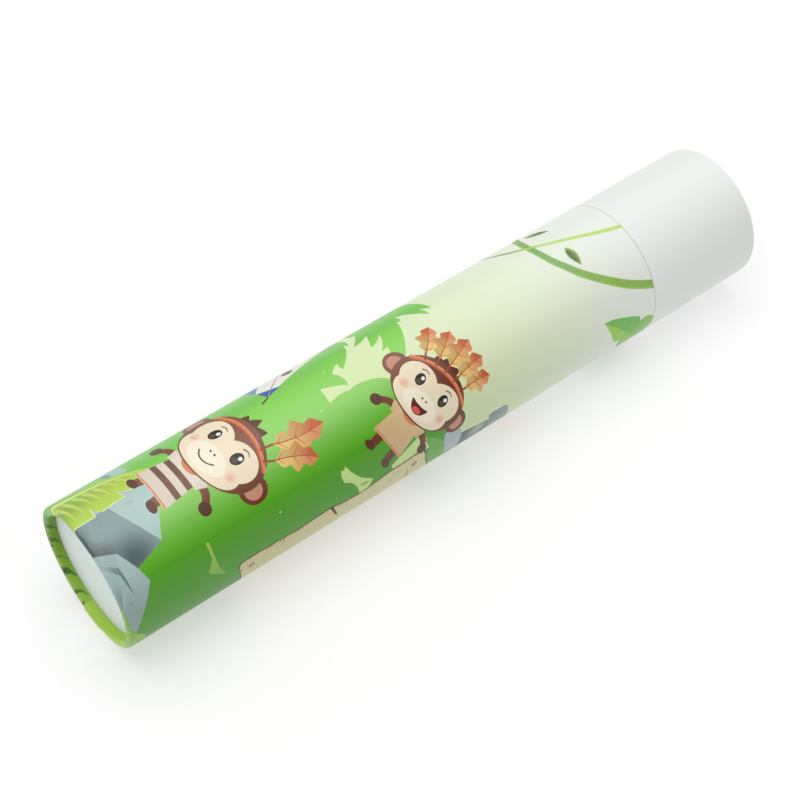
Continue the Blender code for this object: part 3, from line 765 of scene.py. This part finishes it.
draw_hill()
draw_dell()
draw_back_vines()
draw_flap()
draw_kite()
draw_rocks()
draw_banana_leaf()
draw_grass()
monkey(
    Figure(46.6, 2.0, 0.0), ink(230, 218, 202), ink(118, 84, 70), 2, -23.5, 2.4, False,
    [((6.6, 8.6), (8.6, 29.0), 8.4, 1.0), ((9.8, 7.4), (16.8, 22.6), 7.0, -0.8)]
)
draw_stones()
draw_plank()
monkey(
    Figure(108.2, 46.4, -19.9, 0.89), ink(222, 189, 140), ink(170, 100, 64), 0, -21.8, 4.6, True,
    [((-8.0, 8.2), (-14.2, 19.6), 6.4, 0.4), ((7.8, 8.4), (12.6, 20.2), 6.4, -0.4),
     ((-4.0, 9.0), (-7.4, 22.4), 6.6, 0.3), ((3.8, 9.0), (6.2, 22.8), 6.6, -0.3),
     ((-0.2, 9.2), (-0.7, 24.0), 6.8, 0.0)]
)
draw_vines()
draw_cut_edge()


# ---------------------------------------------------------------- materials
def add_node(tree, kind, operation=None, **sockets):
    """A new node whose inputs are set to a value or linked to another node's output."""
    node = tree.nodes.new("ShaderNode" + kind)
    if operation:
        node.operation = operation
    for name, value in sockets.items():
        socket = node.inputs[name.replace("_", " ")]
        if isinstance(value, bpy.types.NodeSocket):
            tree.links.new(value, socket)
        else:
            socket.default_value = value
    return node


def noise(tree, scale, detail=4.0, stretch=None):
    """Noise over the object's own coordinates, with this many features to the metre."""
    place = add_node(tree, "TexCoord").outputs["Object"]
    if stretch:
        place = add_node(tree, "Mapping", Vector=place, Scale=stretch).outputs["Vector"]
    return add_node(tree, "TexNoise", Vector=place, Scale=scale, Detail=detail).outputs["Fac"]


def spread(tree, value, low, high):
    """Maps the middle of a noise onto a range."""
    remap = add_node(tree, "MapRange", Value=value, From_Min=0.3, From_Max=0.7, To_Min=low, To_Max=high)
    return remap.outputs["Result"]


def surface(
    name, colour, roughness, grain=900.0, vary=0.04, bump=0.1, depth=0.00005, stretch=None,
    uneven=0.05, **fixed
):
    """A Principled material with grain in its colour, roughness and bump. fixed sets other sockets."""
    material = bpy.data.materials.new(name)
    material.use_nodes = True
    tree = material.node_tree
    tree.nodes.clear()
    if isinstance(colour, str):
        colour = add_node(tree, "VertexColor")
        colour.layer_name = "ink"
        colour = colour.outputs["Color"]
    else:
        colour = tuple(colour)
    value = noise(tree, grain, 5.0, stretch)
    tone = add_node(tree, "VectorMath", "SCALE", Vector=colour, Scale=spread(tree, value, 1 - vary, 1 + vary))
    gloss = spread(tree, noise(tree, grain * 0.4), roughness - uneven, roughness + uneven)
    shader = add_node(tree, "BsdfPrincipled", Base_Color=tone.outputs[0], Roughness=gloss, **fixed)
    if bump:
        relief = add_node(tree, "Bump", Strength=bump, Distance=depth, Height=value)
        tree.links.new(relief.outputs[0], shader.inputs["Normal"])
    add_node(tree, "OutputMaterial", Surface=shader.outputs[0])
    return material


PRINT = surface("printed_paper", "ink", 0.42, 2600, 0.015, 0.12)
COLLAR_PAPER = surface("white_paper", ink(236, 240, 236), 0.46, 2600, 0.012, 0.16)
KRAFT = surface("kraft_board", ink(222, 202, 168), 0.85, 1400, 0.12, 0.5, stretch=(0.35, 1, 1))
CARD = surface("white_card", ink(228, 228, 224), 0.8, 1800, 0.03, 0.4)
BLACK_CARD = surface("black_card", ink(34, 34, 35), 0.75, 1500, 0.15, 0.4)
FOAM = surface("foam", ink(70, 70, 73), 0.95, 2600, 0.3, 0.9, 0.0002)
FROSTED = surface("frosted_plastic", ink(220, 230, 227), 0.5, 3200, 0.02, 0.3, Transmission_Weight=0.06)
# Painted glow: the window's inner face gives off light of its own, standing in for light that comes through
# the frosted plastic.
FROSTED_INSIDE_PAINTED_GLOW = surface(
    "frosted_inside_painted_glow", ink(232, 243, 240), 0.5, 3200, 0.02, 0.3, Transmission_Weight=0.12,
    Emission_Color=(1, 1, 0.98, 1), Emission_Strength=0.7
)
CLEAR = surface(
    "clear_plastic", ink(248, 251, 251), 0.03, 60, 0.005, 0, uneven=0.02, Transmission_Weight=1.0, IOR=1.49
)
MIRROR = surface("mirror", ink(243, 244, 246), 0.03, 300, 0.01, 0, uneven=0.02, Metallic=1.0)
BEAD_INKS = {
    "red": (226, 32, 44), "blue": (28, 92, 222), "yellow": (248, 196, 24), "green": (26, 182, 82),
    "pink": (246, 104, 168), "violet": (142, 62, 192)
}
BEADS = {
    name: surface(name + "_bead", ink(*colour), 0.12, 500, 0.08, 0.05, Transmission_Weight=0.8)
    for name, colour in BEAD_INKS.items()
}


# ---------------------------------------------------------------- meshes
def add_piece(name, mesh, node):
    """Puts a mesh in place of a CAD node, on the node's body and with its material slot."""
    piece = bpy.data.objects.new(name, mesh)
    bpy.context.scene.collection.objects.link(piece)
    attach(piece, BODY[node])
    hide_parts(node)
    return piece


def make_piece(name, points, faces, material, node, corner_normals=None, colours=None):
    """A piece from points in millimetres that stands for a CAD node."""
    mesh = bpy.data.meshes.new(name)
    mesh.from_pydata((np.asarray(points) * MM).tolist(), [], faces)
    mesh.materials.append(material)
    if colours is not None:
        layer = mesh.color_attributes.new("ink", "FLOAT_COLOR", "CORNER")
        layer.data.foreach_set("color", np.hstack([colours, np.ones((len(colours), 1))]).ravel())
    mesh.shade_smooth()
    if corner_normals is not None:
        mesh.normals_split_custom_set(corner_normals.tolist())
    else:
        mesh.set_sharp_from_angle(angle=math.radians(32))
    return add_piece(name, mesh, node)


def profile_at(s):
    """The printed side's distance from the rim's end, its radius, and the two parts of its normal."""
    turn = np.clip((EDGE - s) / EDGE, 0, math.pi / 2)
    turn_in = np.clip((AT_INNER - s) / EDGE, 0, math.pi / 2)
    on_flap = s < AT_INNER
    x = np.where(s > EDGE, s, EDGE * (1 - np.sin(turn)))
    r = RADIUS - EDGE + EDGE * np.cos(turn) - np.clip(AT_FACE - s, 0, AT_FACE - AT_INNER)
    x = np.where(on_flap, EDGE * (1 - np.cos(turn_in)) + np.clip(AT_FLAP - s, 0, None), x)
    r = np.where(on_flap, RADIUS - RIM + EDGE * (1 - np.sin(turn_in)), r)
    nx = np.where(on_flap, -np.cos(turn_in), -np.sin(turn))
    nr = np.where(on_flap, -np.sin(turn_in), np.cos(turn))
    return x, r, nx, nr


def inside(outline, points):
    """Which points lie in an outline, by its winding number."""
    near = (points > outline.min(axis=0)).all(axis=1) & (points < outline.max(axis=0)).all(axis=1)
    found = np.zeros(len(points), bool)
    x, y = points[near].T
    turns = np.zeros(len(x), int)
    for (x0, y0), (x1, y1) in zip(outline, np.roll(outline, -1, axis=0)):
        side = (x1 - x0) * (y - y0) - (x - x0) * (y1 - y0)
        turns += (y0 <= y) & (y < y1) & (side > 0)
        turns -= (y1 <= y) & (y < y0) & (side < 0)
    found[near] = turns != 0
    return found


PLEATS = (-148, -126, -97, -74, -41, -12, 21, 58, 83, 117, 139, 171)
# Arc lengths: once round the tube, and the sheet's two edges at the seam.
TURN = 2 * math.pi * RADIUS
FIRST = SEAM_END * DEGREE - LAP
LAST = FIRST + TURN + LAP


def sheet_grid(length):
    """The arc lengths and the s values of a sheet's own mesh lines, closest where it bends."""
    rows = set(np.linspace(FIRST, LAST, 152))
    rows |= {FIRST + TURN + d for d in (-1.2, -0.8, -0.4, 0.0)}
    for phi in PLEATS:
        rows |= {phi * DEGREE + d for d in (-0.7, -0.35, 0.0, 0.35, 0.7)}
    columns = {
        AT_END, AT_END + 0.7, (AT_END + AT_FLAP) / 2, *np.linspace(AT_FLAP, AT_INNER, 6),
        *np.linspace(AT_INNER, AT_FACE, 3), *np.linspace(AT_FACE, EDGE, 6),
        *np.linspace(EDGE, length, max(int(length / 2.6), 2))
    }
    return sorted(rows), sorted(columns)


def lay_flat(length, layers):
    """A flat sheet cut into triangles along its mesh lines and the outlines of its layers.

    Gives the points, the triangles, which shape each triangle shows (-1 for none), and the shapes as
    (outline, fill, shift round the tube).
    """
    rows, columns = sheet_grid(length)
    across = len(columns)
    points = [(s, a) for a in rows for s in columns]
    edges = [(i, i + 1) for i in range(len(points)) if (i + 1) % across]
    edges += [(i, i + across) for i in range(len(points) - across)]
    shapes = []
    for outline, fill in layers:
        for shift in (-TURN, 0.0, TURN):
            moved = outline + (0, shift)
            if moved[:, 1].max() > FIRST and moved[:, 1].min() < LAST and outline[:, 0].max() > AT_END:
                base, count = len(points), len(moved)
                edges += [(base + i, base + (i + 1) % count) for i in range(count)]
                points.extend(map(tuple, moved))
                shapes.append((moved, fill, shift))
    made = delaunay_2d_cdt([Vector(q) for q in points], edges, [], 0, 1e-5, False)
    points, triangles = np.array([tuple(q) for q in made[0]]), np.array(made[2])
    middle = points[triangles].mean(axis=1)
    kept = (middle > (AT_END, FIRST)).all(axis=1) & (middle < (length, LAST)).all(axis=1)
    triangles, middle = triangles[kept], middle[kept]
    owners = np.full(len(triangles), -1)
    for i, (outline, _, _) in enumerate(shapes):
        owners[np.flatnonzero(inside(outline, middle))] = i
    used, triangles = np.unique(triangles, return_inverse=True)
    return points[used], triangles.reshape(-1, 3), owners, shapes


def roll(points, start, way):
    """Both sides of the rolled sheet, printed side first, and the printed side's normals."""
    s, a = points.T
    x, r, nx, nr = profile_at(s)
    lift = (SHEET + 0.03) * np.clip((a - FIRST - TURN + 1.2) / 1.2, 0, 1)
    for phi in PLEATS:
        depth = 0.16 * np.clip((AT_FACE - s) / 1.0, 0, 1)
        lift = lift - depth * np.clip(1 - np.abs(a - phi * DEGREE) / 0.6, 0, None)
    angle = a / RADIUS
    sides = []
    for level in (lift, lift - SHEET):
        place, radius = start + way * (x + nx * level), r + nr * level
        sides.append(np.stack([place, -radius * np.sin(angle), AXIS + radius * np.cos(angle)], 1))
    normal = np.stack([way * nx, -nr * np.sin(angle), nr * np.cos(angle)], 1)
    return np.concatenate(sides), normal


def wrap_sheet(name, node, material, length, start, way, layers, ground):
    """A sheet of paper rolled round the tube, turned in over the rim at start and lapped at its seam.

    way is 1 if the sheet runs towards +X from its rim and -1 if it runs towards -X.
    """
    flat_points, triangles, owners, shapes = lay_flat(length, layers)
    points, normal = roll(flat_points, start, way)
    top = triangles[:, ::-1] if way > 0 else triangles
    count = len(flat_points)
    ends = np.concatenate([top[:, [0, 1]], top[:, [1, 2]], top[:, [2, 0]]])
    keys = {tuple(e) for e in ends.tolist()}
    walls = [(p, p + count, q + count, q) for p, q in keys if (q, p) not in keys]
    shell = top.tolist() + (top[:, ::-1] + count).tolist() + walls
    corners = top.ravel()
    corner_normals = [normal[corners], -normal[top[:, ::-1].ravel()]]
    for wall in walls:
        p = points[list(wall)]
        n = np.cross(p[1] - p[0], p[3] - p[0])
        corner_normals.append(np.tile(n / (np.linalg.norm(n) + 1e-12), (4, 1)))
    s, a = flat_points[corners].T
    colours = ground(s, a)
    owner = np.repeat(owners, 3)
    for i, (_, fill, shift) in enumerate(shapes):
        here = owner == i
        colours[here] = fill(s[here], a[here] - shift)
    plain = np.tile(ink(236, 236, 230), (len(corners) + len(walls) * 4, 1))
    colours = np.concatenate([colours, plain])
    return make_piece(name, points, shell, material, node, np.concatenate(corner_normals), colours)


def rounded(profile, size, steps=3):
    """A closed profile with each corner rounded off."""
    out = []
    p = np.array(profile, float)
    for i, here in enumerate(p):
        back, on = p[i - 1] - here, p[(i + 1) % len(p)] - here
        reach = min(size, np.hypot(*back) * 0.45, np.hypot(*on) * 0.45)
        one, two = here + back / np.hypot(*back) * reach, here + on / np.hypot(*on) * reach
        for k in range(steps + 1):
            t = k / steps
            out.append(one * (1 - t) ** 2 + here * 2 * t * (1 - t) + two * t * t)
    return out


def node_ring(node):
    """A round CAD node's two ends, in millimetres, and its outer and inner radius to its flats."""
    low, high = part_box(node)
    points = np.array([v.co for v in nodes[node].data.vertices]) / MM
    reach = np.hypot(points[:, 1], points[:, 2] - AXIS) * math.cos(math.pi / CAD_SIDES)
    return low.x / MM, high.x / MM, reach.max(), reach.min()


def sweep(profile, closed, sides=144):
    """Points and faces of a profile of (x, radius) points that is swept round the axis."""
    count = len(profile)
    angles = np.linspace(0, 2 * math.pi, sides, endpoint=False)
    points = [(x, -r * math.sin(t), AXIS + r * math.cos(t)) for t in angles for x, r in profile]
    starts = [(j * count, (j + 1) % sides * count) for j in range(sides)]
    pairs = [(i, (i + 1) % count) for i in range(count if closed else count - 1)]
    faces = [(here + i, on + i, on + k, here + k) for here, on in starts for i, k in pairs]
    return points, faces


def ring(name, node, material, soft=0.25):
    x0, x1, outer, inner = node_ring(node)
    profile = rounded([(x0, inner), (x0, outer), (x1, outer), (x1, inner)], soft)
    return make_piece(name, *sweep(profile, True), material, node)


def plate(name, node, material, soft=0.2):
    """A round plate: its rounded edge, with one face closing each side."""
    x0, x1, outer, _ = node_ring(node)
    edge = rounded([(x0, 1.0), (x0, outer), (x1, outer), (x1, 1.0)], soft)[3:-3]
    points, faces = sweep(edge, False)
    firsts = range(0, len(points), len(edge))
    faces.append(tuple(firsts)[::-1])
    faces.append(tuple(i + len(edge) - 1 for i in firsts))
    return make_piece(name, points, faces, material, node)


def softened(name, node, material, width):
    """A piece with a CAD node's own shape and its sharp edges rounded off."""
    mesh = nodes[node].data.copy()
    mesh.materials.clear()
    mesh.materials.append(material)
    piece = add_piece(name, mesh, node)
    weld = piece.modifiers.new("weld", "WELD")
    weld.merge_threshold = 0.02 * MM
    bevel = piece.modifiers.new("bevel", "BEVEL")
    bevel.width = width * MM
    bevel.segments = 2
    bevel.limit_method = "ANGLE"
    return piece


wrap_sheet("printed_sheet", "printed_wrap", PRINT, BARREL, LEFT, 1, LAYERS, sky)
wrap_sheet("collar_sheet", "collar_wrap", COLLAR_PAPER, COLLAR, RIGHT, -1, [], flat(ink(238, 240, 237)))
for part in ("barrel", "neck", "collar", "mirror"):
    ring(part + "_board", part + "_tube", KRAFT)
ring("stop_collar", "stop_flange", KRAFT)
ring("end_collar", "end_ring", KRAFT)
ring("lock_ring", "locking_ring", KRAFT)
ring("cell_wall", "chamber_ring", CARD)
ring("eyepiece_card", "eyepiece_disc", CARD, 0.3)
window = plate("frosted_window", "diffuser_disc", FROSTED)
# Faces looking into the tube take the painted glow.
window.data.materials.append(FROSTED_INSIDE_PAINTED_GLOW)
for face in window.data.polygons:
    face.material_index = int(face.normal.x > 0.9)
plate("cell_window", "clear_window", CLEAR)
plate("lens", "eye_lens", CLEAR)
for i in (1, 2, 3):
    softened(f"mirror_{i}", f"mirror_strip_{i}", MIRROR, 0.1)
softened("black_sleeve", "prism_sleeve", BLACK_CARD, 0.1)
softened("front_foam", "front_prism_support", FOAM, 0.3)
softened("rear_foam", "rear_prism_support", FOAM, 0.3)
for pile in ("gem_pile", "bead_pile", "sequin_pile"):
    for node in record["behaviour"]["bodies"][pile]:
        softened("loose_" + node, node, BEADS[node.split("_")[0]], 0.12)


# ---------------------------------------------------------------- studio
LIGHTS = (
    ("top_light", (-0.1, 0.14, 1.2), 1.2, 4.55),
    ("end_light", (-1.2, -0.2, 0.5), 0.6, 1.6),
    ("eye_light", (1.3, 0.1, 0.3), 0.6, 2.6)
)
CAMERA_PLACE = (-0.22503, -0.27556, 0.42697)
CAMERA_AZIMUTH, CAMERA_ELEVATION = math.radians(-38.128), math.radians(49.351)
CAMERA_LENS, CAMERA_SENSOR = 80.08, 36
FLOOR_HALF = 6
FLOOR_GLOW = 0.48
BACKDROP_GLOW = 0.85


def build_studio():
    """A pale floor, a soft dome of light with three lamps, and the camera."""
    floor_mesh = bpy.data.meshes.new("floor")
    corners = [(-FLOOR_HALF, -FLOOR_HALF, 0), (FLOOR_HALF, -FLOOR_HALF, 0)]
    corners += [(FLOOR_HALF, FLOOR_HALF, 0), (-FLOOR_HALF, FLOOR_HALF, 0)]
    floor_mesh.from_pydata(corners, [], [(0, 1, 2, 3)])
    floor = bpy.data.objects.new("floor", floor_mesh)
    bpy.context.scene.collection.objects.link(floor)
    paper = surface("studio_floor", np.array([0.5, 0.5, 0.5]), 0.8, 20, 0.002, 0)
    shader = paper.node_tree.nodes["Principled BSDF"]
    shader.inputs["Emission Color"].default_value = (1, 1, 1, 1)
    shader.inputs["Emission Strength"].default_value = FLOOR_GLOW
    floor_mesh.materials.append(paper)
    world = bpy.data.worlds.new("studio")
    bpy.context.scene.world = world
    world.use_nodes = True
    tree = world.node_tree
    direction = add_node(tree, "TexCoord").outputs["Generated"]
    facing = add_node(tree, "VectorMath", "DOT_PRODUCT", Vector=direction)
    facing.inputs[1].default_value = Vector((0, 0.1, 1)).normalized()
    height = facing.outputs["Value"]
    dome = add_node(tree, "MapRange", Value=height, From_Min=0.3, From_Max=0.8, To_Min=0.16, To_Max=0.98)
    dome.interpolation_type = "SMOOTHSTEP"
    ray = add_node(tree, "LightPath").outputs["Is Camera Ray"]
    backdrop = add_node(tree, "Mix", Factor=ray, A=dome.outputs["Result"], B=BACKDROP_GLOW)
    tree.links.new(backdrop.outputs["Result"], tree.nodes["Background"].inputs["Strength"])
    tree.nodes["Background"].inputs["Color"].default_value = (1, 1, 1, 1)
    for name, place, size, power in LIGHTS:
        light = bpy.data.lights.new(name, "AREA")
        light.shape = "DISK"
        light.size = size
        light.energy = power
        lamp = bpy.data.objects.new(name, light)
        lamp.location = place
        lamp.rotation_mode = "QUATERNION"
        lamp.rotation_quaternion = (-Vector(place)).to_track_quat("-Z", "Y")
        bpy.context.scene.collection.objects.link(lamp)
    camera = bpy.data.cameras.new("camera")
    camera.lens = CAMERA_LENS
    camera.sensor_width = CAMERA_SENSOR
    viewer = bpy.data.objects.new("camera", camera)
    viewer.location = CAMERA_PLACE
    level = math.cos(CAMERA_ELEVATION)
    ahead = -math.sin(CAMERA_AZIMUTH) * level, math.cos(CAMERA_AZIMUTH) * level
    gaze = Vector((*ahead, -math.sin(CAMERA_ELEVATION)))
    viewer.rotation_mode = "QUATERNION"
    viewer.rotation_quaternion = gaze.to_track_quat("-Z", "Y")
    bpy.context.scene.collection.objects.link(viewer)
    bpy.context.scene.camera = viewer
    bpy.context.scene.view_settings.view_transform = "Standard"


build_studio()
